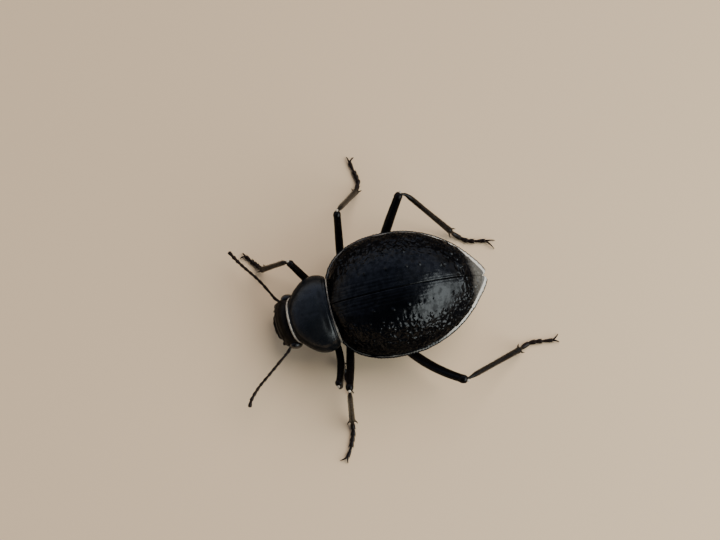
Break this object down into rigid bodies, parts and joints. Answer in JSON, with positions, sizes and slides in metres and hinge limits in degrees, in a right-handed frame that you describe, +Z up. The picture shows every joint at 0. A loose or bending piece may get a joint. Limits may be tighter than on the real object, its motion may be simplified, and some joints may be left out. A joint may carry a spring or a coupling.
{
  "type": "long-legged desert darkling beetle",
  "caption": "Life-size still model of a long-legged black desert darkling beetle, standing with its legs spread and feelers forward.",
  "frame": {"origin": "on the floor, under the middle of the whole beetle's outer box", "axes": "+Z up, head toward -Y, the beetle's own left side toward +X"},
  "size_m": [0.029, 0.0302, 0.0103],
  "materials": {
    "wing_cases": "glossy black with a slight blue tint, wrinkled and set with fine bumps",
    "pronotum": "smooth polished black",
    "head": "dull brownish black, finely pitted",
    "jaws": "polished black",
    "eyes": "glossy black with fine facets",
    "feelers": "satin dark reddish brown",
    "underside": "satin black, finely wrinkled",
    "legs": "glossy black, finely grained",
    "feet": "satin dark reddish brown with short stiff hairs"
  },
  "bodies": {
    "root": {"elytron_right": "wing_cases", "elytron_left": "wing_cases", "pronotum": "pronotum", "head": "head", "labrum": "head", "mentum": "head", "mandible_right": "jaws", "mandible_left": "jaws", "eye_right": "eyes", "eye_left": "eyes", "antenna_right": "feelers", "antenna_left": "feelers", "palp_right": "feelers", "palp_left": "feelers", "mesothorax": "underside", "metathorax": "underside", "ventrite_1": "underside", "ventrite_2": "underside", "ventrite_3": "underside", "ventrite_4": "underside", "ventrite_5": "underside", "coxa_front_right": "legs", "femur_front_right": "legs", "tibia_front_right": "legs", "tarsus_front_right": "feet", "claws_front_right": "feet", "coxa_front_left": "legs", "femur_front_left": "legs", "tibia_front_left": "legs", "tarsus_front_left": "feet", "claws_front_left": "feet", "coxa_mid_right": "legs", "femur_mid_right": "legs", "tibia_mid_right": "legs", "tarsus_mid_right": "feet", "claws_mid_right": "feet", "coxa_mid_left": "legs", "femur_mid_left": "legs", "tibia_mid_left": "legs", "tarsus_mid_left": "feet", "claws_mid_left": "feet", "coxa_hind_right": "legs", "femur_hind_right": "legs", "tibia_hind_right": "legs", "tarsus_hind_right": "feet", "claws_hind_right": "feet", "coxa_hind_left": "legs", "femur_hind_left": "legs", "tibia_hind_left": "legs", "tarsus_hind_left": "feet", "claws_hind_left": "feet"}
  },
  "joints": []
}
